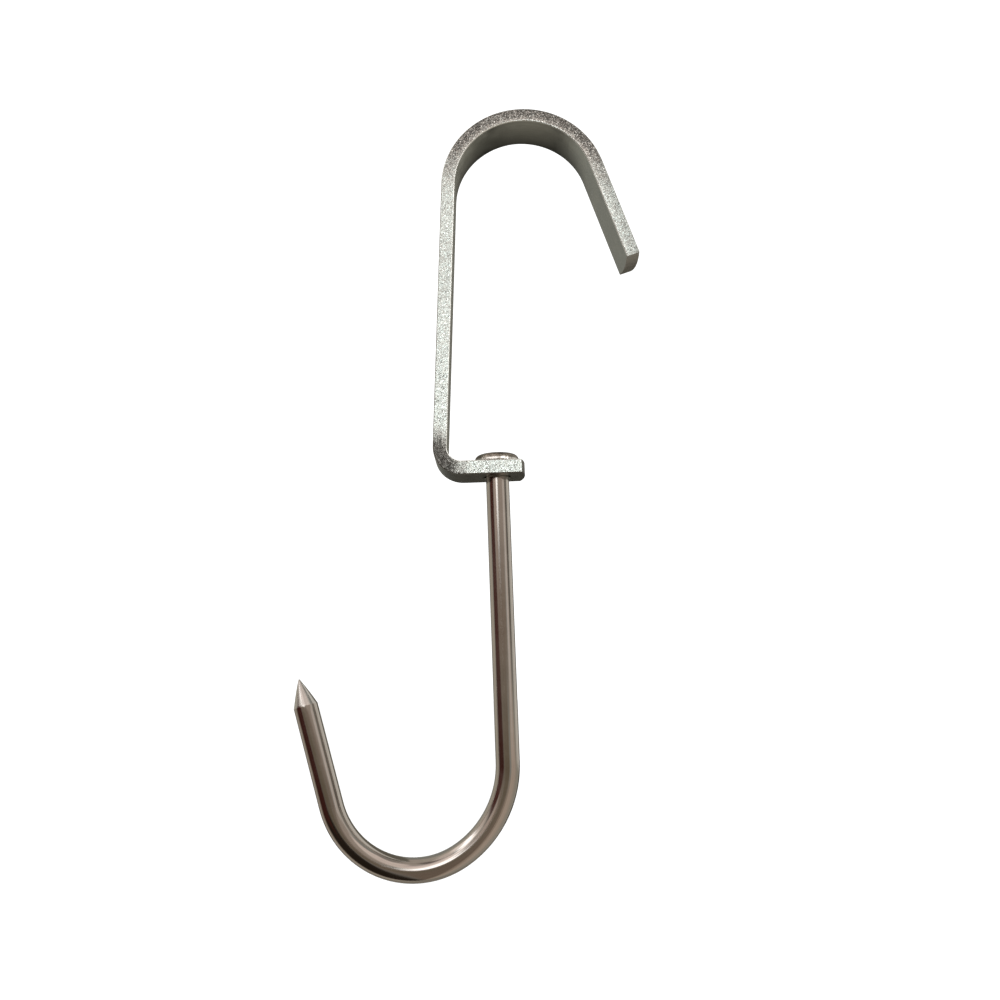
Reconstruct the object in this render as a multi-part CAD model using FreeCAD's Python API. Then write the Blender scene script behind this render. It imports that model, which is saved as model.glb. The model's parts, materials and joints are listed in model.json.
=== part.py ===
import FreeCAD, Part
import math
import os

# A swivelling rail hook for meat. A bent flat bar hangs over a tubular rail. A round bar, bent to a J
# and ground to a point, turns in a hole in the bar's foot, and a flat button above the foot carries it.
#
# Lengths are in millimetres and angles in degrees. +Z is up. The origin is on the axis of the rail,
# which runs along Y, half way across the bar's width.

# The flat bar
BAR_WIDTH = 20.0
BAR_THICKNESS = 6.0
ARRIS = 0.4
END_CROWN_RADIUS = 32.0

# The arch over the rail, which is a tube of 60.3 mm with a little room round it
RAIL_SEAT_RADIUS = 31.0
SHANK_LEAN = 3.2
ARM_LEAN = 17.6
ARM_LENGTH = 48.75

# The foot at the bottom of the shank
FOOT_TOP = -124.8
FOOT_BEND_RADIUS = 6.0
FOOT_END_X = -4.65

# The swivel: a hole in the foot, and the button that rests above it
SWIVEL_X = -16.6
HOLE_RADIUS = 5.75
HOLE_CHAMFER = 0.5
BUTTON_RADIUS = 9.7
BUTTON_RIM_RADIUS = 9.15
BUTTON_HEIGHT = 3.9
BUTTON_CROWN_RISE = 0.5
BUTTON_RIM_FILLET = 2.2
BUTTON_BASE_FILLET = 0.3
BUTTON_GAP = 0.2

# The J hook of round bar. Its bend starts wide below the rod and closes in to the bowl.
ROD_RADIUS = 5.0
ROD_BELOW_FOOT = 118.65
WIDE_BEND_RADIUS = 42.0
WIDE_BEND_ANGLE = 60.0
BOWL_RADIUS = 34.9
TIP_LEAN = 14.5
TIP_LEG_LENGTH = 41.5
POINT_LENGTH = 11.2
POINT_END_RADIUS = 0.25

# The turned spigot on top of the rod, riveted over into the button's countersink
SPIGOT_RADIUS = 3.5
SPIGOT_CLEARANCE = 0.05
RIVET_RADIUS = 4.6
RIVET_DEPTH = 1.3

# Values worked out from the dimensions above
FOOT_UNDERSIDE = FOOT_TOP - BAR_THICKNESS
ARCH_OUTER_RADIUS = RAIL_SEAT_RADIUS + BAR_THICKNESS
BUTTON_BASE = FOOT_TOP + BUTTON_GAP
BUTTON_CROWN = BUTTON_BASE + BUTTON_HEIGHT
BEND_START = FOOT_UNDERSIDE - ROD_BELOW_FOOT
UP = FreeCAD.Vector(0, 0, 1)

# How close two positions have to be to count as the same
NEAR = 0.01


def in_plane(x, z):
    """A point of the bar's side view, half way across its width."""
    return FreeCAD.Vector(x, 0, z)


def around(centre, radius, degrees):
    """The point at an angle on a circle in the side view, counted from +X towards +Z."""
    angle = math.radians(degrees)
    return centre + in_plane(radius * math.cos(angle), radius * math.sin(angle))


def arc(centre, radius, start, end):
    """A circular edge in the side view between two angles."""
    middle = (start + end) / 2
    points = [around(centre, radius, angle) for angle in (start, middle, end)]
    return Part.Arc(*points).toShape()


def line(start, end):
    return Part.LineSegment(start, end).toShape()


def foot_bend_centre():
    """The centre of the bend, one inner radius from the shank's inner face and from the foot's top."""
    lean = math.radians(SHANK_LEAN)
    centre_z = FOOT_TOP + FOOT_BEND_RADIUS
    offset = RAIL_SEAT_RADIUS - FOOT_BEND_RADIUS
    centre_x = (centre_z * math.sin(lean) - offset) / math.cos(lean)
    return in_plane(centre_x, centre_z)


def bar_face(edge, distance):
    """The long run of one broad face of the bar, from the foot's end to the arm's end.

    edge is the arch radius of that face, and distance is how far it lies from the inner face.
    """
    origin = in_plane(0, 0)
    shank_angle = 180 - SHANK_LEAN
    bend = foot_bend_centre()
    bend_radius = FOOT_BEND_RADIUS + distance
    foot_end = in_plane(FOOT_END_X, FOOT_TOP - distance)
    foot_start = around(bend, bend_radius, 270)
    shank_bottom = around(bend, bend_radius, shank_angle)
    shank_top = around(origin, edge, shank_angle)
    arm_top = around(origin, edge, ARM_LEAN)
    arm_end = arm_top + around(origin, ARM_LENGTH, ARM_LEAN - 90)
    return [
        line(foot_end, foot_start),
        arc(bend, bend_radius, 270, shank_angle),
        line(shank_bottom, shank_top),
        arc(origin, edge, shank_angle, ARM_LEAN),
        line(arm_top, arm_end),
    ]


def bar_blank():
    """The bent bar with square ends: its side view, pushed through the bar's width."""
    inner = bar_face(RAIL_SEAT_RADIUS, 0)
    outer = bar_face(ARCH_OUTER_RADIUS, BAR_THICKNESS)
    foot_end = line(outer[0].firstVertex().Point, inner[0].firstVertex().Point)
    arm_end = line(inner[-1].lastVertex().Point, outer[-1].lastVertex().Point)
    outline = Part.Wire(Part.__sortEdges__(inner + outer + [foot_end, arm_end]))
    blank = Part.Face(outline).extrude(FreeCAD.Vector(0, BAR_WIDTH, 0))
    blank.translate(FreeCAD.Vector(0, -BAR_WIDTH / 2, 0))
    return blank


def beyond_crown(end_point, outward, through):
    """What a bar's end loses when it is rounded across its width, seen along through, to an arc."""
    low = end_point - through * BAR_THICKNESS
    crown_axis = low - outward * END_CROWN_RADIUS
    around_end = Part.makeCylinder(BAR_WIDTH, 2 * BAR_THICKNESS, low, through)
    return around_end.cut(Part.makeCylinder(END_CROWN_RADIUS, 2 * BAR_THICKNESS, crown_axis, through))


def side_edges(shape):
    """Every edge that borders the bar's two narrow side faces."""
    half = BAR_WIDTH / 2
    found = []
    for edge in shape.Edges:
        box = edge.BoundBox
        if abs(abs(box.Center.y) - half) < NEAR and box.YLength < NEAR:
            found.append(edge)
    return found


def make_rail_hook():
    origin = in_plane(0, 0)
    foot_end = in_plane(FOOT_END_X, FOOT_TOP - BAR_THICKNESS / 2)
    arm_middle = around(origin, RAIL_SEAT_RADIUS + BAR_THICKNESS / 2, ARM_LEAN)
    arm_outward = around(origin, 1, ARM_LEAN - 90)
    arm_end = arm_middle + arm_outward * ARM_LENGTH
    bar = bar_blank()
    bar = bar.cut(beyond_crown(foot_end, in_plane(1, 0), UP))
    bar = bar.cut(beyond_crown(arm_end, arm_outward, around(origin, 1, ARM_LEAN)))
    bar = bar.makeChamfer(ARRIS, side_edges(bar))
    return bar.cut(swivel_hole())


def swivel_hole():
    """The hole through the foot, with a small chamfer at both mouths."""
    mouth_radius = HOLE_RADIUS + HOLE_CHAMFER
    hole = Part.makeCylinder(HOLE_RADIUS, BAR_THICKNESS, FreeCAD.Vector(SWIVEL_X, 0, FOOT_UNDERSIDE), UP)
    top_start = FreeCAD.Vector(SWIVEL_X, 0, FOOT_TOP - HOLE_CHAMFER)
    top_mouth = Part.makeCone(HOLE_RADIUS, mouth_radius, HOLE_CHAMFER, top_start, UP)
    low_start = FreeCAD.Vector(SWIVEL_X, 0, FOOT_UNDERSIDE)
    low_mouth = Part.makeCone(mouth_radius, HOLE_RADIUS, HOLE_CHAMFER, low_start, UP)
    return hole.fuse([top_mouth, low_mouth])


def crown_radius():
    """The sphere radius of the button's slightly domed top."""
    return (BUTTON_RIM_RADIUS ** 2 + BUTTON_CROWN_RISE ** 2) / (2 * BUTTON_CROWN_RISE)


def rim_edges(button, height):
    """The round edges of the button that lie flat at a height."""
    boxes = [(edge, edge.BoundBox) for edge in button.Edges]
    return [edge for edge, box in boxes if abs(box.ZMin - height) < NEAR and box.ZLength < NEAR]


def make_swivel_button():
    """A round button with a leaning wall, a soft rim and a low crown, bored and countersunk for the spigot."""
    base = FreeCAD.Vector(SWIVEL_X, 0, BUTTON_BASE)
    rim_height = BUTTON_HEIGHT - BUTTON_CROWN_RISE
    apex_height = rim_height * BUTTON_RADIUS / (BUTTON_RADIUS - BUTTON_RIM_RADIUS)
    cone = Part.makeCone(BUTTON_RADIUS, 0, apex_height, base, UP)
    sphere_centre = FreeCAD.Vector(SWIVEL_X, 0, BUTTON_CROWN - crown_radius())
    button = cone.common(Part.makeSphere(crown_radius(), sphere_centre))
    button = button.makeFillet(BUTTON_RIM_FILLET, rim_edges(button, BUTTON_BASE + rim_height))
    button = button.makeFillet(BUTTON_BASE_FILLET, rim_edges(button, BUTTON_BASE))
    bore = Part.makeCylinder(SPIGOT_RADIUS + SPIGOT_CLEARANCE, BUTTON_HEIGHT, base, UP)
    return button.cut(bore.fuse(rivet_cone(SPIGOT_CLEARANCE)))


def rivet_cone(clearance):
    """The riveted end's cone, which the button's countersink matches with a clearance all round."""
    depth = RIVET_DEPTH + clearance
    start = FreeCAD.Vector(SWIVEL_X, 0, BUTTON_CROWN - depth)
    return Part.makeCone(SPIGOT_RADIUS + clearance, RIVET_RADIUS + clearance, depth, start, UP)


def rod_path():
    """The J hook's centre line in its own plane, from the rod's top to the point's base, and that base."""
    rod_top = in_plane(0, BUTTON_BASE)
    wide_centre = in_plane(-WIDE_BEND_RADIUS, BEND_START)
    wide_end = around(wide_centre, WIDE_BEND_RADIUS, -WIDE_BEND_ANGLE)
    bowl_centre = around(wide_end, BOWL_RADIUS, 180 - WIDE_BEND_ANGLE)
    bowl_end = -180 + TIP_LEAN
    leg_start = around(bowl_centre, BOWL_RADIUS, bowl_end)
    leg_end = leg_start + around(in_plane(0, 0), TIP_LEG_LENGTH, 90 + TIP_LEAN)
    straight = line(rod_top, in_plane(0, BEND_START))
    wide_bend = arc(wide_centre, WIDE_BEND_RADIUS, 0, -WIDE_BEND_ANGLE)
    bowl = arc(bowl_centre, BOWL_RADIUS, -WIDE_BEND_ANGLE, bowl_end)
    return Part.Wire([straight, wide_bend, bowl, line(leg_start, leg_end)]), leg_end


def make_j_hook():
    path, leg_end = rod_path()
    section = Part.Wire(Part.makeCircle(ROD_RADIUS, in_plane(0, BUTTON_BASE), UP))
    hook = path.makePipeShell([section], True, False)
    point_axis = around(in_plane(0, 0), 1, 90 + TIP_LEAN)
    point = Part.makeCone(ROD_RADIUS, POINT_END_RADIUS, POINT_LENGTH, leg_end, point_axis)
    hook = hook.fuse(point)
    hook.translate(FreeCAD.Vector(SWIVEL_X, 0, 0))
    spigot_base = FreeCAD.Vector(SWIVEL_X, 0, BUTTON_BASE)
    spigot = Part.makeCylinder(SPIGOT_RADIUS, BUTTON_HEIGHT, spigot_base, UP)
    return hook.fuse([spigot, rivet_cone(0)]).removeSplitter()


def write_step(node, shape):
    solid = shape.Solids[0]
    print(node, "valid", solid.isValid(), "solids", len(shape.Solids), "volume", round(solid.Volume, 1))
    solid.exportStep("parts/" + node + ".step")


os.makedirs("parts", exist_ok=True)
write_step("rail_hook", make_rail_hook())
write_step("swivel_button", make_swivel_button())
write_step("j_hook", make_j_hook())
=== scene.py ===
import json
import math

import bmesh
import bpy
from mathutils import Matrix, Quaternion, Vector


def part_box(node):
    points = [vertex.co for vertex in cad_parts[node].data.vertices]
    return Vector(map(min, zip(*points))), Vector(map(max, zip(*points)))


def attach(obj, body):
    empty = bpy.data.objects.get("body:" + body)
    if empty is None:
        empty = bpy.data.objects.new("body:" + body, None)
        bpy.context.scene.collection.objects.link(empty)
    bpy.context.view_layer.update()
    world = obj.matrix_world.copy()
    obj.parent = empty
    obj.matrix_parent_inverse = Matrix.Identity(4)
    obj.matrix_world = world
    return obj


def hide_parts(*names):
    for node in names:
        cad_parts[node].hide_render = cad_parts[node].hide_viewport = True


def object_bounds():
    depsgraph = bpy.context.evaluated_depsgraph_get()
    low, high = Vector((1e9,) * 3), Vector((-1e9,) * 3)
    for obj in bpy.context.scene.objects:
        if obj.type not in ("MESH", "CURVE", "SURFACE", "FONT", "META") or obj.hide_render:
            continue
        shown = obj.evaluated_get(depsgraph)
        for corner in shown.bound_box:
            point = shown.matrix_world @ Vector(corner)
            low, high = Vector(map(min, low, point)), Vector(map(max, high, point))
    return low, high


# A swivelling rail hook: a bent flat bar with a zinc coat, and a polished round bar that is held in the
# bar's foot by a button and is bent to a pointed J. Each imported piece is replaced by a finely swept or
# turned mesh of the same size, so that edges are rounded, bends are drawn in as real bent bar is, and
# faces carry their own finish. Lengths are in metres and angles in degrees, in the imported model's frame.

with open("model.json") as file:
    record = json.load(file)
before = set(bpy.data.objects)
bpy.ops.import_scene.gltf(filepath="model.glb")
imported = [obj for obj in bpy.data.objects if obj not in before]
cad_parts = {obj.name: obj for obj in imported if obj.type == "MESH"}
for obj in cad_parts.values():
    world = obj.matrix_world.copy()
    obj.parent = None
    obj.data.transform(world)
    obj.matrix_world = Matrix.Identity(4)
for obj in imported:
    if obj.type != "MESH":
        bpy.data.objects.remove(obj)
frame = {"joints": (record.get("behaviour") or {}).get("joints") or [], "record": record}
CAD_LOW, CAD_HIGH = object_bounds()

MM = 0.001

# Sizes read from the frame
BAR_LOW, BAR_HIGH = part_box("rail_hook")
BUTTON_LOW, BUTTON_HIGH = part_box("swivel_button")
ROD_LOW, ROD_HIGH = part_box("j_hook")
SEAT_RADIUS = frame["record"]["mounts"][0]["dims"]["r_mm"] * MM
SWIVEL_X = next(joint["pos_m"][0] for joint in frame["joints"] if joint["name"] == "hook_swivel")
BAR_WIDTH = BAR_HIGH.y - BAR_LOW.y
BAR_THICKNESS = BAR_HIGH.z - SEAT_RADIUS
BUTTON_WIDEST = (BUTTON_HIGH.x - BUTTON_LOW.x) / 2

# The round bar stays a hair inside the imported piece's flat facets.
FACET_CLEARANCE = 0.006 * MM
ROD_RADIUS = (ROD_HIGH.y - ROD_LOW.y) / 2 - FACET_CLEARANCE

# The flat bar's bends and ends. Wringing is how far the arm's back edge stands in from its front edge,
# and drawing in is how much narrower the bar's outer face gets at a bend.
SHANK_LEAN = 3.2
ARM_LEAN = 17.6
ARM_LENGTH = 48.75 * MM
ARM_WRING = 0.8 * MM
FOOT_BEND_RADIUS = 6.0 * MM
FOOT_END_X = -4.65 * MM
END_CROWN_RADIUS = 32.0 * MM
HOLE_RADIUS = 5.75 * MM
HOLE_CHAMFER = 0.5 * MM
ARRIS_RADIUS = 0.5 * MM
ARCH_DRAW_IN = 0.25 * MM
FOOT_BEND_DRAW_IN = 0.7 * MM
DRAW_IN_FADE = 6.0 * MM

# Where the zinc is painted darker, and by how much: painted shade over the arch, at the outer edges,
# at the back of the rail's seat and in the foot's bend, a darker tone on the straight faces, and painted
# shade at the foot and at the foot's end
ARCH_FADE = 22 * MM
ARCH_SHADE_SHIFT = 5 * MM
ARCH_PAINTED_SHADE = 0.74
OUTER_PAINTED_SHADE = 0.28
SEAT_SHADE_WIDTH = 16 * MM
SEAT_PAINTED_SHADE = 0.75
BEND_FADE = 11 * MM
BEND_SHADE_BEYOND = 5 * MM
BEND_PAINTED_SHADE = 0.85
STRAIGHT_DARKENING = 0.22
FOOT_SHADE_HEIGHT = 15 * MM
FOOT_PAINTED_SHADE = 0.3
FOOT_END_PAINTED_SHADE = 0.6

# How finely the bars are meshed: lengths and turns of a step, steps across the flat bar, its first
# section's distance from an end, and how nearly a face looks along Y to count as a narrow side
FOOT_STEP = 1.6 * MM
BAR_STEP = 2.0 * MM
ROD_STEP = 2.5 * MM
FOOT_TURN = 5
ARCH_TURN = 3
ROD_TURN = 2.5
ARRIS_TURN = 18
ACROSS = 10
END_CLEAR = 3.0 * MM
FLAT_SIDE = 0.95
SHARP_ANGLE = 35
ROUND_SEGMENTS = 96
MERGE_DISTANCE = 0.001 * MM

# The J hook's round bar. The crater is the riveted end's hollow, as (part of the rivet's radius, part of
# the crater's depth), and the ground edge is where the point starts, as (drop in radius, distance).
WIDE_BEND_RADIUS = 42.0 * MM
WIDE_BEND_ANGLE = 60.0
BOWL_RADIUS = 34.9 * MM
ROD_STRAIGHT = 118.65 * MM
TIP_LEAN = 14.5
TIP_LEG_LENGTH = 41.5 * MM
POINT_LENGTH = 11.2 * MM
POINT_END_RADIUS = 0.25 * MM
SPIGOT_RADIUS = 3.5 * MM
RIVET_RADIUS = 4.6 * MM
RIVET_DEPTH = 1.3 * MM
RIVET_EDGE = 0.1 * MM
CRATER_DEPTH = 0.35 * MM
CRATER = ((0.4, 1.0), (0.75, 0.3), (0.93, 0.0))
SHOULDER_ROUND = 0.25 * MM
SHOULDER_DROP = 0.02 * MM
GROUND_EDGE = ((0.0, -0.15 * MM), (0.03 * MM, 0.1 * MM))
POINT_BELLY = 0.16 * MM
POINT_STEPS = 14

# The button
BUTTON_RADIUS = 9.7 * MM
BUTTON_RIM_RADIUS = 9.15 * MM
BUTTON_CROWN_RISE = 0.5 * MM
BUTTON_RIM_FILLET = 2.2 * MM
BUTTON_BASE_FILLET = 0.3 * MM
HIGHLIGHT_BAND_TO = 0.9 * MM
HIGHLIGHT_BAND_FADE = 0.5 * MM
COUNTERSINK_GAP = 0.05 * MM
COUNTERSINK_EDGE = 0.1 * MM
CROWN_STEPS = 6
BASE_TURN = 15
RIM_TURN = 10

# The camera, at the photograph's viewing angle
CAMERA_PLACE = Vector((-0.0204, -0.4020, -0.2115))
CAMERA_TILT = 10.0
CAMERA_PAN = -0.65
CAMERA_ROLL = -2.1
CAMERA_LENS = 34.2
SENSOR_WIDTH = 36.0

# The studio. A softbox takes 4 watts for each square metre to look as bright as 1 in the world.
FLOOR_DROP = 0.13
FLOOR_REACH = 6.0
FLOOR_SQUARES = 8
FAR_LIGHT_DISTANCE = 3.0
SOFTBOX_WATTS = 4
LOW_LIGHT_PLACE = Vector((-0.05, -0.50, -0.05))
LOW_LIGHT_SIZE = (0.22, 0.16)
LOW_LIGHT_WATTS = 0.45
WHITE_STRENGTH = 1.25

# Most of a noise's values lie between these two.
NOISE_LOW = 0.3
NOISE_HIGH = 0.7


# ---------------------------------------------------------------- meshes

def side_point(centre, radius, degrees):
    """A point on a circle that is seen from the side, as (x, z) or (radius, height)."""
    angle = math.radians(degrees)
    return (centre[0] + radius * math.cos(angle), centre[1] + radius * math.sin(angle))


class Path:
    """A line of straight runs and arcs in the XZ plane, sampled as (distance, x, z, direction, bend).

    bend is the name of the arc that a sample is on, or 0 on a straight run.
    """

    def __init__(self, x, z, direction):
        self.x, self.z, self.direction = x, z, direction
        self.distance = 0.0
        self.samples = [(0.0, x, z, direction, 0)]

    def step(self, length, bend):
        angle = math.radians(self.direction)
        self.x += length * math.cos(angle)
        self.z += length * math.sin(angle)
        self.distance += length
        self.samples.append((self.distance, self.x, self.z, self.direction, bend))

    def run(self, length, spacing):
        count = max(1, math.ceil(length / spacing))
        for _ in range(count):
            self.step(length / count, 0)

    def turn(self, radius, degrees, step_degrees, bend):
        """An arc of chords. Positive degrees turn towards +Z from +X."""
        count = max(1, math.ceil(abs(degrees) / step_degrees))
        part = degrees / count
        chord = 2 * radius * math.sin(math.radians(abs(part)) / 2)
        for _ in range(count):
            self.direction += part / 2
            self.step(chord, bend)
            self.direction += part / 2
            self.samples[-1] = (*self.samples[-1][:3], self.direction, bend)


def bar_path():
    """The flat bar's middle line, from the foot's end up the shank and over the arch to the arm's end."""
    half = BAR_THICKNESS / 2
    foot_top = BAR_LOW.z + BAR_THICKNESS
    lean = math.radians(SHANK_LEAN)
    bend_z = foot_top + FOOT_BEND_RADIUS
    bend_x = (bend_z * math.sin(lean) - (SEAT_RADIUS - FOOT_BEND_RADIUS)) / math.cos(lean)
    shank_low = side_point((bend_x, bend_z), FOOT_BEND_RADIUS + half, 180 - SHANK_LEAN)
    shank_high = side_point((0, 0), SEAT_RADIUS + half, 180 - SHANK_LEAN)
    path = Path(FOOT_END_X, BAR_LOW.z + half, 180)
    path.run(FOOT_END_X - bend_x, FOOT_STEP)
    path.turn(FOOT_BEND_RADIUS + half, -(90 + SHANK_LEAN), FOOT_TURN, "foot")
    path.run(math.dist(shank_low, shank_high), BAR_STEP)
    path.turn(SEAT_RADIUS + half, -(180 - SHANK_LEAN - ARM_LEAN), ARCH_TURN, "arch")
    path.run(ARM_LENGTH, BAR_STEP)
    return path


def bend_range(bend):
    """Where a bend starts and ends, in distance along the bar."""
    distances = [one[0] for one in bar_path().samples if one[4] == bend]
    return distances[0], distances[-1]


def draw_in(distance):
    """How far the outer edge of the narrow faces is drawn in at a bend, faded in and out at its ends."""
    total = 0.0
    for bend, depth in (("arch", ARCH_DRAW_IN), ("foot", FOOT_BEND_DRAW_IN)):
        start, end = bend_range(bend)
        inside = min(distance - start, end - distance) / DRAW_IN_FADE + 0.5
        level = min(1.0, max(0.0, inside))
        total += depth * level * level * (3 - 2 * level)
    return total


def wring(distance):
    """How far the back edge stands in from the front edge. It grows over the arch's second half."""
    start, end = bend_range("arch")
    part = 2 * (distance - start) / (end - start) - 1
    return ARM_WRING * min(1.0, max(0.0, part))


def arris_layers():
    """Layers from the inner face out, as (part of the thickness, inset), rounded at both arrises."""
    layers = []
    for angle in range(0, 91, ARRIS_TURN):
        turn = math.radians(angle)
        depth = ARRIS_RADIUS * (1 - math.cos(turn)) / BAR_THICKNESS
        layers.append((depth, ARRIS_RADIUS * (1 - math.sin(turn))))
    return layers + [(1 - depth, inset) for depth, inset in reversed(layers)]


def bar_point(sample, shifts, end, spot):
    """A point on the bar. spot is (part across from -1 to 1, part of the thickness, inset).

    shifts are how far the bar is drawn in and wrung here. end is 1 at the foot's end, -1 at the arm's
    end and 0 between, and turns the crown of the ends on.
    """
    _, x, z, direction, _ = sample
    drawn, wrung = shifts
    part, depth, inset = spot
    y = part * (BAR_WIDTH / 2 - inset - drawn * depth)
    crown = END_CROWN_RADIUS - inset
    fall = end * (inset + crown - math.sqrt(crown ** 2 - y ** 2))
    rise = (depth - 0.5) * BAR_THICKNESS - wrung * (y / BAR_WIDTH + 0.5)
    along, outward = math.radians(direction), math.radians(direction + 90)
    x += fall * math.cos(along) + rise * math.cos(outward)
    z += fall * math.sin(along) + rise * math.sin(outward)
    return Vector((x, y, z))


def bar_ring(layers):
    """The spots round one section: inner face from back to front, front side, outer face, back side."""
    across = [2 * step / ACROSS - 1 for step in range(ACROSS + 1)]
    ring = [(-part, *layers[0]) for part in across]
    ring += [(-1, *layer) for layer in layers[1:-1]]
    ring += [(part, *layers[-1]) for part in across]
    return ring + [(1, *layer) for layer in reversed(layers[1:-1])]


def close_bar_end(bm, ring, sample, end, layers):
    """The end face: a row of quads across the bar for each two layers."""
    uv = bm.loops.layers.uv["grain"]
    shifts = (draw_in(sample[0]), wring(sample[0]))
    last = len(layers) - 1
    outer = ACROSS + last
    rows = [ring[ACROSS::-1]]
    for number in range(1, last):
        parts = [2 * step / ACROSS - 1 for step in range(1, ACROSS)]
        points = [bar_point(sample, shifts, end, (part, *layers[number])) for part in parts]
        middle = [bm.verts.new(point) for point in points]
        rows.append([ring[ACROSS + number], *middle, ring[outer + ACROSS + last - number]])
    rows.append(ring[outer:outer + ACROSS + 1])
    for number, (low, high) in enumerate(zip(rows, rows[1:])):
        for step in range(ACROSS):
            face = bm.faces.new((low[step], low[step + 1], high[step + 1], high[step]))
            face.material_index = 2
            for loop, layer in zip(face.loops, (number, number, number + 1, number + 1)):
                loop[uv].uv = (loop.vert.co.y, layers[layer][0] * BAR_THICKNESS)


def round_ring(ring):
    """The distance round a ring to each of its points, and back to the first."""
    distances = [0.0]
    for here, following in zip(ring, ring[1:] + ring[:1]):
        distances.append(distances[-1] + (following - here).length)
    return distances


def bridge(bm, rings, distances, around):
    """Quads between successive rings, with UVs in metres: distance along, and distance round the ring."""
    uv = bm.loops.layers.uv.new("grain")
    made = [[bm.verts.new(point) for point in ring] for ring in rings]
    count = len(made[0])
    for row, (low, high) in enumerate(zip(made, made[1:])):
        for step in range(count):
            following = (step + 1) % count
            face = bm.faces.new((low[step], high[step], high[following], low[following]))
            corners = ((row, step), (row + 1, step), (row + 1, step + 1), (row, step + 1))
            for loop, (ring_row, place) in zip(face.loops, corners):
                loop[uv].uv = (distances[ring_row], around[place])
    return made


def finished_object(name, bm, materials):
    """Makes an object of the mesh, smooth, with its materials in their slots."""
    bmesh.ops.recalc_face_normals(bm, faces=bm.faces)
    mesh = bpy.data.meshes.new(name)
    bm.to_mesh(mesh)
    bm.free()
    mesh.shade_smooth()
    piece = bpy.data.objects.new(name, mesh)
    bpy.context.scene.collection.objects.link(piece)
    for material in materials:
        mesh.materials.append(material)
    return piece


def apply_modifiers(piece):
    """Leaves the mesh that the modifiers make, and no modifiers."""
    graph = bpy.context.evaluated_depsgraph_get()
    done = bpy.data.meshes.new_from_object(piece.evaluated_get(graph))
    piece.modifiers.clear()
    piece.data = done


def hole_cutter(materials):
    """A round cutter through the foot at the swivel, wider at both mouths."""
    low, high = BAR_LOW.z, BAR_LOW.z + BAR_THICKNESS
    mouth = HOLE_RADIUS + 2 * HOLE_CHAMFER
    profile = [
        (mouth, low - HOLE_CHAMFER),
        (HOLE_RADIUS, low + HOLE_CHAMFER),
        (HOLE_RADIUS, high - HOLE_CHAMFER),
        (mouth, high + HOLE_CHAMFER),
    ]
    rings = turned_rings(profile, SWIVEL_X)
    bm = bmesh.new()
    made = bridge(bm, rings, [step * MM for step in range(len(rings))], round_ring(rings[1]))
    bm.faces.new(made[0])
    bm.faces.new(list(reversed(made[-1])))
    for face in bm.faces:
        face.material_index = 1
    return finished_object("hole_cutter", bm, materials)


def make_bar(*finishes):
    """The flat bar. Its finishes are for the narrow faces, the broad faces with arrises, and the ends."""
    samples = bar_path().samples
    length = samples[-1][0]
    samples = [one for one in samples if one[0] in (0.0, length) or END_CLEAR < one[0] < length - END_CLEAR]
    ends = [1] + [0] * (len(samples) - 2) + [-1]
    layers = arris_layers()
    spots = bar_ring(layers)
    rings = []
    for sample, end in zip(samples, ends):
        shifts = (draw_in(sample[0]), wring(sample[0]))
        rings.append([bar_point(sample, shifts, end, spot) for spot in spots])
    bm = bmesh.new()
    made = bridge(bm, rings, [one[0] for one in samples], round_ring(rings[len(rings) // 2]))
    bm.normal_update()
    for face in bm.faces:
        face.material_index = 0 if abs(face.normal.y) > FLAT_SIDE else 1
    close_bar_end(bm, made[0], samples[0], 1, layers)
    close_bar_end(bm, made[-1], samples[-1], -1, layers)
    bar = finished_object("flat_bar", bm, finishes)
    cutter = hole_cutter(finishes)
    hole = bar.modifiers.new("hole", "BOOLEAN")
    hole.object = cutter
    hole.operation = "DIFFERENCE"
    hole.solver = "EXACT"
    apply_modifiers(bar)
    bpy.data.objects.remove(cutter)
    bar.data.set_sharp_from_angle(angle=math.radians(SHARP_ANGLE))
    bar.modifiers.new("even_normals", "WEIGHTED_NORMAL").keep_sharp = True
    apply_modifiers(bar)
    return bar


def rod_centre_line():
    """The J hook's centre line, from the shoulder under the button to where the point starts."""
    shoulder = BUTTON_LOW.z
    bend_start = BAR_LOW.z - ROD_STRAIGHT
    path = Path(0, shoulder, -90)
    path.run(shoulder - bend_start, ROD_STEP)
    path.turn(WIDE_BEND_RADIUS, -WIDE_BEND_ANGLE, ROD_TURN, "wide")
    path.turn(BOWL_RADIUS, -(180 - TIP_LEAN - WIDE_BEND_ANGLE), ROD_TURN, "bowl")
    path.run(TIP_LEG_LENGTH, ROD_STEP)
    return path


def turned_profile():
    """The spigot above the rod's shoulder, from its riveted end down, as (radius, height)."""
    crown = BUTTON_HIGH.z
    profile = [(part * RIVET_RADIUS, crown - deep * CRATER_DEPTH) for part, deep in CRATER]
    return profile + [
        (RIVET_RADIUS, crown - RIVET_EDGE),
        (SPIGOT_RADIUS, crown - RIVET_DEPTH),
        (SPIGOT_RADIUS, BUTTON_LOW.z),
        (ROD_RADIUS - SHOULDER_ROUND, BUTTON_LOW.z - SHOULDER_DROP),
        (ROD_RADIUS, BUTTON_LOW.z - SHOULDER_ROUND),
    ]


def point_profile():
    """The ground point beyond the leg, as (radius, distance), with a slight belly and a blunt end."""
    profile = [(ROD_RADIUS - drop, beyond) for drop, beyond in GROUND_EDGE]
    for step in range(1, POINT_STEPS + 1):
        part = step / POINT_STEPS
        belly = POINT_BELLY * math.sin(math.pi * part)
        profile.append((ROD_RADIUS + (POINT_END_RADIUS - ROD_RADIUS) * part + belly, POINT_LENGTH * part))
    return profile


def ring_at(centre, direction, radius):
    """A ring square to a direction in the XZ plane."""
    angle = math.radians(direction)
    side = Vector((-math.sin(angle), 0, math.cos(angle)))
    depth = Vector((0, 1, 0))
    turns = [2 * math.pi * step / ROUND_SEGMENTS for step in range(ROUND_SEGMENTS)]
    return [centre + radius * (math.cos(turn) * side + math.sin(turn) * depth) for turn in turns]


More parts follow.
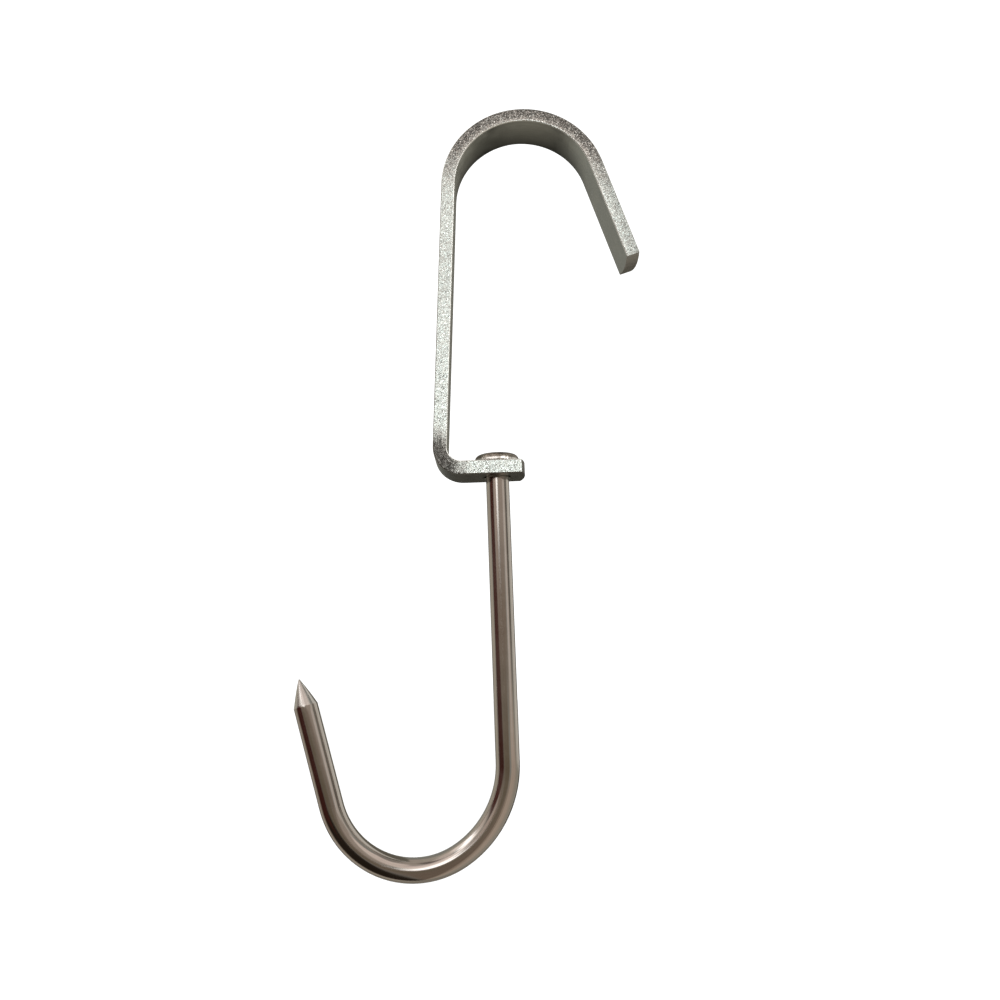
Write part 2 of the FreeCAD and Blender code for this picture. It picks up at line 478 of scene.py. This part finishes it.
def turned_rings(profile, x):
    """Level rings about an upright axis, one for each (radius, height)."""
    return [ring_at(Vector((x, 0, height)), -90, radius) for radius, height in profile]


def make_rod(rod_finish, point_finish):
    """The J hook: its spigot, the round bar along its centre line, and the ground point."""
    centre_line = rod_centre_line().samples
    rings = turned_rings(turned_profile(), 0)
    distances = [BUTTON_LOW.z - height for _, height in turned_profile()]
    for distance, x, z, direction, _ in centre_line[1:-1]:
        rings.append(ring_at(Vector((x, 0, z)), direction, ROD_RADIUS))
        distances.append(distance)
    end, x, z, direction, _ = centre_line[-1]
    axis = Vector((math.cos(math.radians(direction)), 0, math.sin(math.radians(direction))))
    for radius, beyond in point_profile():
        rings.append(ring_at(Vector((x, 0, z)) + axis * beyond, direction, radius))
        distances.append(end + beyond)
    bm = bmesh.new()
    made = bridge(bm, rings, distances, round_ring(rings[len(rings) // 2]))
    bm.faces.new(made[0])
    bm.faces.new(list(reversed(made[-1])))
    uv = bm.loops.layers.uv["grain"]
    for face in bm.faces:
        distance = sum(loop[uv].uv.x for loop in face.loops) / len(face.loops)
        face.material_index = 1 if distance > end else 0
    bmesh.ops.translate(bm, verts=bm.verts, vec=(SWIVEL_X, 0, 0))
    return finished_object("round_bar_hook", bm, [rod_finish, point_finish])


def arc(centre, radius, low, high, step_degrees):
    """Points along an arc, as (radius, height) in a turned profile."""
    count = math.ceil((high - low) / step_degrees)
    return [side_point(centre, radius, low + (high - low) * step / count) for step in range(count + 1)]


def button_profile():
    """The button's turned outline: down the bore, out below, over the crown and into the countersink."""
    low, high = BUTTON_LOW.z, BUTTON_HIGH.z
    bore = SPIGOT_RADIUS + COUNTERSINK_GAP
    mouth = RIVET_RADIUS + COUNTERSINK_GAP
    rim_height = high - low - BUTTON_CROWN_RISE
    lean = math.degrees(math.atan((BUTTON_RADIUS - BUTTON_RIM_RADIUS) / rim_height))
    crown_radius = (BUTTON_RIM_RADIUS ** 2 + BUTTON_CROWN_RISE ** 2) / (2 * BUTTON_CROWN_RISE)
    base_centre = (BUTTON_WIDEST - BUTTON_BASE_FILLET, low + BUTTON_BASE_FILLET)
    rim_set_in = BUTTON_RIM_FILLET * math.tan(math.radians((90 - lean) / 2))
    rim_top = high - (BUTTON_RIM_RADIUS - rim_set_in) ** 2 / (2 * crown_radius)
    rim_centre = (BUTTON_RIM_RADIUS - rim_set_in, rim_top - BUTTON_RIM_FILLET)
    profile = [(bore, high - RIVET_DEPTH), (bore, low), ((bore + BUTTON_RADIUS) / 2, low)]
    profile += arc(base_centre, BUTTON_BASE_FILLET, -90, lean, BASE_TURN)
    profile += arc(rim_centre, BUTTON_RIM_FILLET, lean, 90, RIM_TURN)
    start = profile[-1][0]
    for step in range(1, CROWN_STEPS + 1):
        radius = start + (mouth - start) * step / CROWN_STEPS
        profile.append((radius, high - radius ** 2 / (2 * crown_radius)))
    profile[-1] = (mouth, profile[-1][1] - COUNTERSINK_EDGE)
    return profile


def make_button(finish):
    """The button, a ring that is closed on itself where its outline starts and ends."""
    profile = button_profile()
    profile.append(profile[0])
    rings = turned_rings(profile, 0)
    distances = [0.0]
    for last, here in zip(profile, profile[1:]):
        distances.append(distances[-1] + math.dist(last, here))
    bm = bmesh.new()
    bridge(bm, rings, distances, round_ring(rings[2]))
    bmesh.ops.remove_doubles(bm, verts=bm.verts, dist=MERGE_DISTANCE)
    bmesh.ops.translate(bm, verts=bm.verts, vec=(SWIVEL_X, 0, 0))
    return finished_object("button", bm, [finish])


# ---------------------------------------------------------------- finishes

# The narrow faces' grain: how many cells to a metre, and how far each cell leans
COARSE_GRAIN = 1250.0
FINE_GRAIN = 2600.0
COARSE_LEAN = 0.40
FINE_LEAN = 0.50


class Finish:
    """A metal finish: a principled shader, and short ways to add the nodes that feed it."""

    def __init__(self, name):
        self.material = bpy.data.materials.new(name)
        self.material.use_nodes = True
        self.tree = self.material.node_tree
        self.shader = next(node for node in self.tree.nodes if node.type == "BSDF_PRINCIPLED")
        self.shader.inputs["Metallic"].default_value = 1.0

    def add(self, kind, inputs, output=0, **settings):
        """Adds a node and gives back one of its outputs. An input is a number, a colour or an output."""
        node = self.tree.nodes.new(kind)
        for name, value in settings.items():
            setattr(node, name, value)
        for name, value in inputs.items():
            self.feed(node.inputs[name], value)
        return node.outputs[output] if node.outputs else None

    def feed(self, socket, value):
        if isinstance(value, bpy.types.NodeSocket):
            self.tree.links.new(value, socket)
        else:
            socket.default_value = value

    def place(self):
        """Metres in the piece's own frame."""
        return self.add("ShaderNodeTexCoord", {}, "Object")

    def lengthwise(self, along, across):
        """Metres along the bar and round it, each multiplied, for marks that follow the bar."""
        uv = self.add("ShaderNodeUVMap", {}, uv_map="grain")
        return self.add("ShaderNodeVectorMath", {0: uv, 1: (along, across, 0)}, operation="MULTIPLY")

    def noise(self, vector, scale, detail=3.0, roughness=0.55):
        inputs = {"Vector": vector, "Scale": scale, "Detail": detail, "Roughness": roughness}
        return self.add("ShaderNodeTexNoise", inputs)

    def cells(self, vector, scale):
        """A colour drawn at random for each cell."""
        return self.add("ShaderNodeTexVoronoi", {"Vector": vector, "Scale": scale}, "Color")

    def fade(self, value, low, high, to_low=0.0, to_high=1.0):
        """Carries the range low to high over to another range, and holds it there outside."""
        inputs = {"Value": value, "From Min": low, "From Max": high, "To Min": to_low, "To Max": to_high}
        return self.add("ShaderNodeMapRange", inputs)

    def spread(self, noise, to_low, to_high):
        """Carries a noise over to another range."""
        return self.fade(noise, NOISE_LOW, NOISE_HIGH, to_low, to_high)

    def calculate(self, operation, one, other):
        return self.add("ShaderNodeMath", {0: one, 1: other}, operation=operation)

    def product(self, *values):
        """Two or more values multiplied together."""
        total = values[0]
        for value in values[1:]:
            total = self.calculate("MULTIPLY", total, value)
        return total

    def band(self, value, low, high, edge):
        """1 between two values, falling smoothly to 0 over an edge's width at each of them."""
        middle, half = (low + high) / 2, (high - low) / 2
        away = self.calculate("ABSOLUTE", self.calculate("SUBTRACT", value, middle), 0.0)
        return self.fade(away, half - edge / 2, half + edge / 2, 1.0, 0.0)

    def parts(self, vector):
        """The x, y and z of a vector."""
        node = self.tree.nodes.new("ShaderNodeSeparateXYZ")
        self.feed(node.inputs[0], vector)
        return node.outputs

    def along_and_round(self):
        """The distance along the bar, and the distance round it."""
        return self.parts(self.add("ShaderNodeUVMap", {}, uv_map="grain"))[:2]

    def over(self, colour, patch_colour, cover):
        """A colour with another colour laid over it where cover is 1."""
        below = (*colour, 1) if isinstance(colour, tuple) else colour
        return self.add("ShaderNodeMix", {0: cover, 6: below, 7: (*patch_colour, 1)}, 2, data_type="RGBA")

    def darkened(self, shade, where, amount):
        """A shade taken down by an amount where a band is 1."""
        return self.product(shade, self.fade(where, 0.0, 1.0, 1.0, 1.0 - amount))

    def scaled(self, vector, factor):
        inputs = {"Vector": vector, "Scale": factor}
        return self.add("ShaderNodeVectorMath", inputs, operation="SCALE")

    def tilted(self, colour, amount):
        """A random colour turned into a lean of the surface, as much one way as the other."""
        lean = self.add("ShaderNodeVectorMath", {0: colour, 1: (0.5, 0.5, 0.5)}, operation="SUBTRACT")
        return self.scaled(lean, amount)

    def normal_leaning(self, *leans):
        """The surface's normal with leans added."""
        vector = self.add("ShaderNodeNewGeometry", {}, "Normal")
        for lean in leans:
            vector = self.add("ShaderNodeVectorMath", {0: vector, 1: lean}, operation="ADD")
        return self.add("ShaderNodeVectorMath", {0: vector}, operation="NORMALIZE")

    def bumped(self, height, depth, normal=None):
        """The normal over a height from 0 to 1 that stands for a depth in metres."""
        inputs = {"Height": height, "Distance": depth, "Strength": 1.0}
        if normal is not None:
            inputs["Normal"] = normal
        return self.add("ShaderNodeBump", inputs)

    def finished(self, colour, roughness, normal):
        self.feed(self.shader.inputs["Base Color"], colour)
        self.feed(self.shader.inputs["Roughness"], roughness)
        self.feed(self.shader.inputs["Normal"], normal)
        return self.material


def outer_side(finish, around):
    """0 at a narrow face's inner edge and 1 at its outer edge, on the front and on the back."""
    flat = BAR_WIDTH - 2 * ARRIS_RADIUS
    arris = math.pi / 2 * ARRIS_RADIUS
    side = BAR_THICKNESS - 2 * ARRIS_RADIUS
    front = flat + arris
    back = 2 * front + side + arris
    on_front = finish.fade(around, front, front + side)
    on_back = finish.fade(around, back, back + side, 1.0, 0.0)
    return finish.calculate("MINIMUM", on_front, on_back)


def painted_bend_shade(finish, in_foot_bend, outer, fine):
    """Painted shade in the foot's bend: more to the outside, between the grain's glints and along drag
    marks.
    """
    to_outside = finish.fade(outer, 0.0, 0.5, 0.8, 1.0)
    between_glints = finish.fade(fine, 0.62, 0.72, 1.0, 0.82)
    drawn = finish.fade(finish.noise(finish.lengthwise(60.0, 1500.0), 1.0), 0.46, 0.6, 1.0, 0.72)
    return finish.fade(finish.product(in_foot_bend, to_outside, between_glints, drawn), 0.05, 0.72)


def grainy_zinc():
    """The narrow faces: a fine, glittering grain, with painted shade to the outside and over both bends."""
    finish = Finish("grainy_zinc")
    place = finish.place()
    along, around = finish.along_and_round()
    outer = outer_side(finish, around)
    arch_low, arch_high = bend_range("arch")
    foot_low, foot_high = bend_range("foot")
    in_arch = finish.band(along, arch_low + ARCH_SHADE_SHIFT, arch_high + ARCH_SHADE_SHIFT, ARCH_FADE)
    to_arm_end = finish.fade(along, arch_low, arch_low + ARCH_FADE)
    in_foot_bend = finish.band(along, foot_low, foot_high + BEND_SHADE_BEYOND, BEND_FADE)
    outer_of_arm = finish.product(outer, to_arm_end)
    coarse = finish.cells(place, COARSE_GRAIN)
    fine = finish.cells(place, FINE_GRAIN)
    pits = finish.noise(place, 1700.0)

    relief = finish.product(finish.fade(outer_of_arm, 0.1, 0.9, 0.8, 1.2),
                            finish.fade(in_foot_bend, 0.0, 1.0, 1.0, 0.55))
    coarse_lean = finish.scaled(finish.tilted(coarse, COARSE_LEAN), relief)
    fine_lean = finish.scaled(finish.tilted(fine, FINE_LEAN), relief)
    normal = finish.bumped(pits, 0.02 * MM, finish.normal_leaning(coarse_lean, fine_lean))

    clouds = finish.spread(finish.noise(place, 60.0), 0.88, 1.0)
    shade = finish.product(finish.fade(fine, 0.2, 0.7, 0.6, 1.0),
                           finish.fade(pits, 0.3, 0.6, 0.7, 1.0), clouds)
    # Painted shade: darker towards the outer edge from the arch on, and over the arch away from its inner
    # edge.
    shade = finish.darkened(shade, outer_of_arm, OUTER_PAINTED_SHADE)
    off_edge = finish.fade(outer, 0.0, 0.35, 0.55, 1.0)
    between_glints = finish.fade(fine, 0.52, 0.66, 1.0, 0.35)
    shade = finish.darkened(shade, finish.product(off_edge, between_glints, in_arch), ARCH_PAINTED_SHADE)
    # Painted shade in the foot's bend.
    shade = finish.darkened(shade, painted_bend_shade(finish, in_foot_bend, outer, fine), BEND_PAINTED_SHADE)
    tint = finish.over((0.93, 0.99, 0.96), (0.94, 0.91, 0.86), in_arch)
    tint = finish.over(tint, (0.95, 0.89, 0.83), in_foot_bend)
    roughness = finish.spread(finish.noise(place, 400.0), 0.34, 0.5)
    return finish.finished(finish.scaled(tint, shade), roughness, normal)


def in_foot(finish, place):
    """1 at the bar's foot, falling to 0 up the shank."""
    return finish.fade(finish.parts(place)[2], BAR_LOW.z, BAR_LOW.z + FOOT_SHADE_HEIGHT, 1.0, 0.0)


def satin_zinc():
    """The broad faces: an even satin coat with faint rolling marks.

    It has painted shade at the back of the arch's seat and at the foot, and a painted highlight along the
    front inner arris.
    """
    finish = Finish("satin_zinc")
    place = finish.place()
    along, around = finish.along_and_round()
    rolling = finish.noise(finish.lengthwise(30.0, 1600.0), 1.0, 4.0)
    mottling = finish.noise(place, 170.0, 4.0)
    speckle = finish.noise(place, 1800.0, 2.0)
    shade = finish.product(finish.spread(rolling, 0.9, 1.0), finish.spread(mottling, 0.86, 1.0))
    in_arch = finish.band(along, *bend_range("arch"), ARCH_FADE)
    # Painted shade at the back of the arch's inner face.
    seat_shade = finish.product(in_arch, finish.fade(around, 0.0, SEAT_SHADE_WIDTH, 1.0, 0.0))
    shade = finish.darkened(shade, seat_shade, SEAT_PAINTED_SHADE)
    # A darker tone on the straight faces than over the arch.
    shade = finish.darkened(shade, finish.calculate("SUBTRACT", 1.0, in_arch), STRAIGHT_DARKENING)
    # Painted shade at the foot.
    shade = finish.darkened(shade, in_foot(finish, place), FOOT_PAINTED_SHADE)
    # A painted highlight along the front inner arris.
    arris = BAR_WIDTH - 1.5 * ARRIS_RADIUS
    arris_highlight = finish.band(around, arris - ARRIS_RADIUS, arris + ARRIS_RADIUS, 0.4 * ARRIS_RADIUS)
    colour = finish.over(finish.scaled((0.68, 0.69, 0.64), shade), (0.97, 0.98, 0.95), arris_highlight)
    roughness = finish.calculate("ADD", finish.spread(mottling, 0.30, 0.40),
                                 finish.spread(speckle, 0.0, 0.08))
    normal = finish.bumped(rolling, 0.006 * MM)
    normal = finish.bumped(speckle, 0.008 * MM, normal)
    return finish.finished(colour, roughness, normal)


def sheared_zinc():
    """The ends: sheared, with marks through the thickness under the coat."""
    finish = Finish("sheared_zinc")
    place = finish.place()
    marks = finish.noise(finish.lengthwise(1500.0, 120.0), 1.0, 3.0)
    speckle = finish.noise(place, 1500.0, 3.0)
    shade = finish.product(finish.spread(marks, 0.85, 1.0), finish.spread(speckle, 0.88, 1.0))
    # Painted shade at the foot's end.
    shade = finish.darkened(shade, in_foot(finish, place), FOOT_END_PAINTED_SHADE)
    colour = finish.scaled((0.62, 0.60, 0.56), shade)
    return finish.finished(colour, finish.spread(speckle, 0.42, 0.55), finish.bumped(marks, 0.02 * MM))


def polished_rod():
    """The round bar: nearly a mirror, with drawing lines along it and a few scratches."""
    finish = Finish("polished_rod")
    place = finish.place()
    drawing = finish.noise(finish.lengthwise(12.0, 2600.0), 1.0, 4.0)
    waves = finish.noise(place, 45.0, 1.0)
    scratch_field = finish.noise(finish.lengthwise(90.0, 700.0), 1.0, 5.0, 0.7)
    scratches = finish.fade(scratch_field, 0.66, 0.72)
    haze = finish.noise(place, 110.0, 4.0)
    shade = finish.product(finish.spread(drawing, 0.88, 1.0), finish.spread(haze, 0.9, 1.0))
    colour = finish.scaled((0.66, 0.61, 0.57), shade)
    roughness = finish.calculate("ADD", finish.spread(haze, 0.09, 0.16), finish.product(scratches, 0.12))
    normal = finish.bumped(waves, 0.08 * MM)
    normal = finish.bumped(drawing, 0.004 * MM, normal)
    return finish.finished(colour, roughness, normal)


def ground_point():
    """The sharpened point: brighter than the round bar, with grinding streaks that run to the tip."""
    finish = Finish("ground_point")
    streaks = finish.noise(finish.lengthwise(60.0, 1500.0), 1.0, 3.0)
    place = finish.place()
    colour = finish.scaled((0.80, 0.77, 0.74), finish.spread(streaks, 0.72, 1.0))
    roughness = finish.spread(finish.noise(place, 500.0), 0.18, 0.3)
    return finish.finished(colour, roughness, finish.bumped(streaks, 0.02 * MM))


def hammered_steel():
    """The button: hammered over and mottled brown-grey, with a painted highlight in a band low on its wall.
    """
    finish = Finish("hammered_steel")
    place = finish.place()
    dents = finish.noise(place, 420.0, 2.0)
    stain = finish.noise(place, 260.0, 4.0)
    grit = finish.noise(place, 2200.0, 2.0)
    height = finish.calculate("SUBTRACT", finish.parts(place)[2], BUTTON_LOW.z)
    # A painted highlight in a band low on the wall.
    highlight_band = finish.fade(height, HIGHLIGHT_BAND_TO, HIGHLIGHT_BAND_TO + HIGHLIGHT_BAND_FADE, 1.0, 0.0)
    stained = finish.scaled((0.44, 0.39, 0.33), finish.fade(stain, 0.35, 0.65, 0.35, 1.0))
    colour = finish.over(stained, (0.92, 0.90, 0.86), highlight_band)
    roughness = finish.spread(stain, 0.38, 0.22)
    normal = finish.bumped(dents, 0.5 * MM)
    normal = finish.bumped(grit, 0.008 * MM, normal)
    return finish.finished(colour, roughness, normal)


# ---------------------------------------------------------------- studio

# What the metal mirrors, as (azimuth range, elevation range, colour). Azimuth 0 is behind the camera,
# 90 on its right and 180 behind the hook. Each patch lies over the ones before it, and its edges fade
# over PATCH_EDGE degrees.
ROOM_BASE = (0.29, 0.29, 0.26)
ROOM_PATCHES = [
    # Overhead, and behind the hook
    ((-180, 180), (58, 90), (0.45, 0.40, 0.35)),
    ((135, 180), (-6, 90), (0.15, 0.14, 0.11)),
    ((135, 225), (-90, -6), (0.03, 0.028, 0.022)),
    ((135, 225), (-90, -27), (0.27, 0.25, 0.21)),
    # Past the hook's right and left sides
    ((92, 135), (-8, 90), (0.62, 0.60, 0.54)),
    ((92, 135), (-90, -8), (0.37, 0.35, 0.30)),
    ((116, 135), (-8, 60), (0.70, 0.68, 0.63)),
    ((-135, -92), (-8, 90), (0.46, 0.43, 0.36)),
    ((-135, -98), (-90, -8), (0.42, 0.38, 0.32)),
    ((-100, -84), (-90, -8), (0.24, 0.20, 0.16)),
    # On the left, dark and reddish below and pale above
    ((-88, -12), (-90, -11), (0.022, 0.016, 0.011)),
    ((-86, -36), (-25, 1), (0.055, 0.018, 0.013)),
    ((-86, -43), (-1, 7), (0.075, 0.024, 0.017)),
    ((-86, -48), (5, 20), (0.075, 0.024, 0.017)),
    ((-104, -45), (23, 34), (0.62, 0.54, 0.47)),
    ((-104, -45), (48, 66), (0.72, 0.63, 0.56)),
    # Behind the camera, from the level of the bowl up
    ((-34, 18), (-12, -1), (0.16, 0.13, 0.09)),
    ((-42, 36), (-1, 8), (0.22, 0.17, 0.13)),
    ((-44, -22), (6, 20), (0.52, 0.43, 0.37)),
    ((4, 50), (6, 28), (0.40, 0.34, 0.29)),
    ((-40, 2), (26, 48), (1.02, 0.89, 0.82)),
    ((-50, 2), (46, 54), (0.66, 0.57, 0.52)),
    ((-2, 50), (27, 62), (0.80, 0.70, 0.63)),
    ((-44, -22), (53, 72), (0.18, 0.15, 0.13)),
    ((22, 110), (58, 90), (0.30, 0.27, 0.24)),
    # Low down behind the camera, and on the right
    ((-10, 22), (-90, -11), (0.20, 0.155, 0.12)),
    ((20, 36), (-90, -11), (0.36, 0.29, 0.23)),
    ((34, 74), (-90, -1), (0.48, 0.40, 0.33)),
    ((45, 58), (-3, 14), (0.66, 0.61, 0.57)),
    ((52, 66), (0, 32), (0.58, 0.52, 0.46)),
    ((70, 88), (0, 16), (0.14, 0.12, 0.10)),
    ((74, 92), (14, 48), (0.22, 0.20, 0.17)),
    ((72, 94), (-90, -4), (0.41, 0.36, 0.30)),
    # A strip light that rises to the left
    ((-19, -3), (9.5, 25), (2.40, 2.38, 2.36)),
    ((-29, -10), (21, 31), (1.95, 1.92, 1.90)),
    ((-64, -38), (31, 39), (2.00, 1.96, 1.92)),
    ((-100, -53), (36, 46), (2.35, 2.32, 2.30)),
    ((-104, -68), (46, 54), (1.20, 1.10, 1.02)),
]
PATCH_EDGE = 6.0


class World(Finish):
    """The world's node tree, with the same short ways to add nodes."""

    def __init__(self):
        world = bpy.data.worlds.new("studio")
        bpy.context.scene.world = world
        world.use_nodes = True
        self.tree = world.node_tree
        self.tree.nodes.clear()

    def directions(self):
        """The azimuth and the elevation looked along, in degrees."""
        x, y, z = self.parts(self.add("ShaderNodeTexCoord", {}, "Generated"))
        azimuth = self.calculate("ARCTAN2", x, self.product(y, -1.0))
        elevation = self.calculate("ARCSINE", z, 0.0)
        degrees = math.degrees(1.0)
        return self.product(azimuth, degrees), self.product(elevation, degrees)

    def background(self, colour, strength=1.0):
        return self.add("ShaderNodeBackground", {"Color": colour, "Strength": strength})


def light_the_world():
    """White to the camera and to the floor, and a room with bright and dark parts to the metal."""
    world = World()
    azimuth, elevation = world.directions()
    from_0_to_360 = world.calculate("MODULO", world.calculate("ADD", azimuth, 360.0), 360.0)
    colour = ROOM_BASE
    for (low, high), (bottom, top), patch_colour in ROOM_PATCHES:
        angle = from_0_to_360 if high > 180 else azimuth
        cover = world.product(world.band(angle, low, high, PATCH_EDGE),
                              world.band(elevation, bottom, top, PATCH_EDGE))
        colour = world.over(colour, patch_colour, cover)
    room = world.background(colour)
    white = world.background((1, 1, 1, 1), WHITE_STRENGTH)
    mirrored = world.add("ShaderNodeLightPath", {}, "Is Glossy Ray")
    mixed = world.add("ShaderNodeMixShader", {0: mirrored, 1: white, 2: room})
    world.add("ShaderNodeOutputWorld", {"Surface": mixed})


def softbox(name, pieces, place, facing, size, watts, colour):
    """A rectangular light, not itself seen by the camera, that lights only some pieces."""
    light = bpy.data.lights.new(name, "AREA")
    light.shape = "RECTANGLE"
    light.size, light.size_y = size
    light.energy = watts
    light.color = colour
    lamp = bpy.data.objects.new(name, light)
    lamp.location = place
    lamp.rotation_euler = facing.to_euler()
    lamp.visible_camera = False
    bpy.context.scene.collection.objects.link(lamp)
    lit = bpy.data.collections.new("lit_by_" + name)
    for piece in pieces:
        lit.objects.link(piece)
    lamp.light_linking.receiver_collection = lit


def far_softbox(name, pieces, azimuth, elevation, lean, width, height, radiance, colour):
    """A distant softbox that faces the hook. Width and height are in degrees as the hook sees them."""
    turn, lift = math.radians(azimuth), math.radians(elevation)
    away = Vector((math.sin(turn) * math.cos(lift), -math.cos(turn) * math.cos(lift), math.sin(lift)))
    place = Vector((0, 0, BUTTON_LOW.z)) + away * FAR_LIGHT_DISTANCE
    facing = away.to_track_quat("Z", "Y") @ Quaternion((0, 0, 1), math.radians(lean))
    size = [2 * FAR_LIGHT_DISTANCE * math.tan(math.radians(angle / 2)) for angle in (width, height)]
    watts = SOFTBOX_WATTS * size[0] * size[1] * radiance
    softbox(name, pieces, place, facing, size, watts, colour)


def low_softbox(pieces):
    """A near softbox, a little above the foot and turned to it."""
    away = LOW_LIGHT_PLACE - Vector((SWIVEL_X, 0, BUTTON_LOW.z))
    facing = away.to_track_quat("Z", "Y")
    softbox("low", pieces, LOW_LIGHT_PLACE, facing, LOW_LIGHT_SIZE, LOW_LIGHT_WATTS, (0.93, 1.0, 0.98))


def make_floor():
    """A pale floor below the hook, which the metal doesn't mirror."""
    finish = Finish("pale_floor")
    finish.shader.inputs["Metallic"].default_value = 0.0
    clouds = finish.noise(finish.place(), 3.0)
    paleness = finish.scaled((0.93, 0.93, 0.93), finish.spread(clouds, 0.97, 1.0))
    finish.feed(finish.shader.inputs["Base Color"], paleness)
    finish.feed(finish.shader.inputs["Roughness"], finish.spread(clouds, 0.8, 0.9))
    bm = bmesh.new()
    bmesh.ops.create_grid(bm, x_segments=FLOOR_SQUARES, y_segments=FLOOR_SQUARES, size=FLOOR_REACH)
    bmesh.ops.translate(bm, verts=bm.verts, vec=(0, 0, CAD_LOW.z - FLOOR_DROP))
    floor = finished_object("pale_floor", bm, [finish.material])
    floor.visible_glossy = False


def place_camera():
    """The camera looks along Y, tilted up, panned and rolled a little."""
    camera = bpy.data.cameras.new("camera")
    camera.lens = CAMERA_LENS
    camera.sensor_width = SENSOR_WIDTH
    camera.clip_start = 0.01
    camera.clip_end = 50
    viewer = bpy.data.objects.new("camera", camera)
    viewer.location = CAMERA_PLACE
    pan = Matrix.Rotation(math.radians(CAMERA_PAN), 4, "Z")
    tilt = Matrix.Rotation(math.radians(90 + CAMERA_TILT), 4, "X")
    roll = Matrix.Rotation(math.radians(CAMERA_ROLL), 4, "Z")
    viewer.rotation_euler = (pan @ tilt @ roll).to_euler()
    bpy.context.scene.collection.objects.link(viewer)
    bpy.context.scene.camera = viewer


# ---------------------------------------------------------------- the scene

bar = make_bar(grainy_zinc(), satin_zinc(), sheared_zinc())
rod = make_rod(polished_rod(), ground_point())
button = make_button(hammered_steel())

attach(bar, "rail_hook")
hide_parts("rail_hook")
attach(rod, "j_hook")
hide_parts("j_hook")
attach(button, "swivel_button")
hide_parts("swivel_button")

light_the_world()
far_softbox("key", [bar, button], azimuth=43, elevation=28, lean=22, width=9, height=28,
            radiance=6.0, colour=(1.0, 0.99, 0.97))
far_softbox("strip", [bar, button], azimuth=-26, elevation=30, lean=18, width=30, height=7,
            radiance=1.35, colour=(1.0, 0.95, 0.92))
low_softbox([bar])
make_floor()
place_camera()

bpy.context.scene.view_settings.view_transform = "Standard"
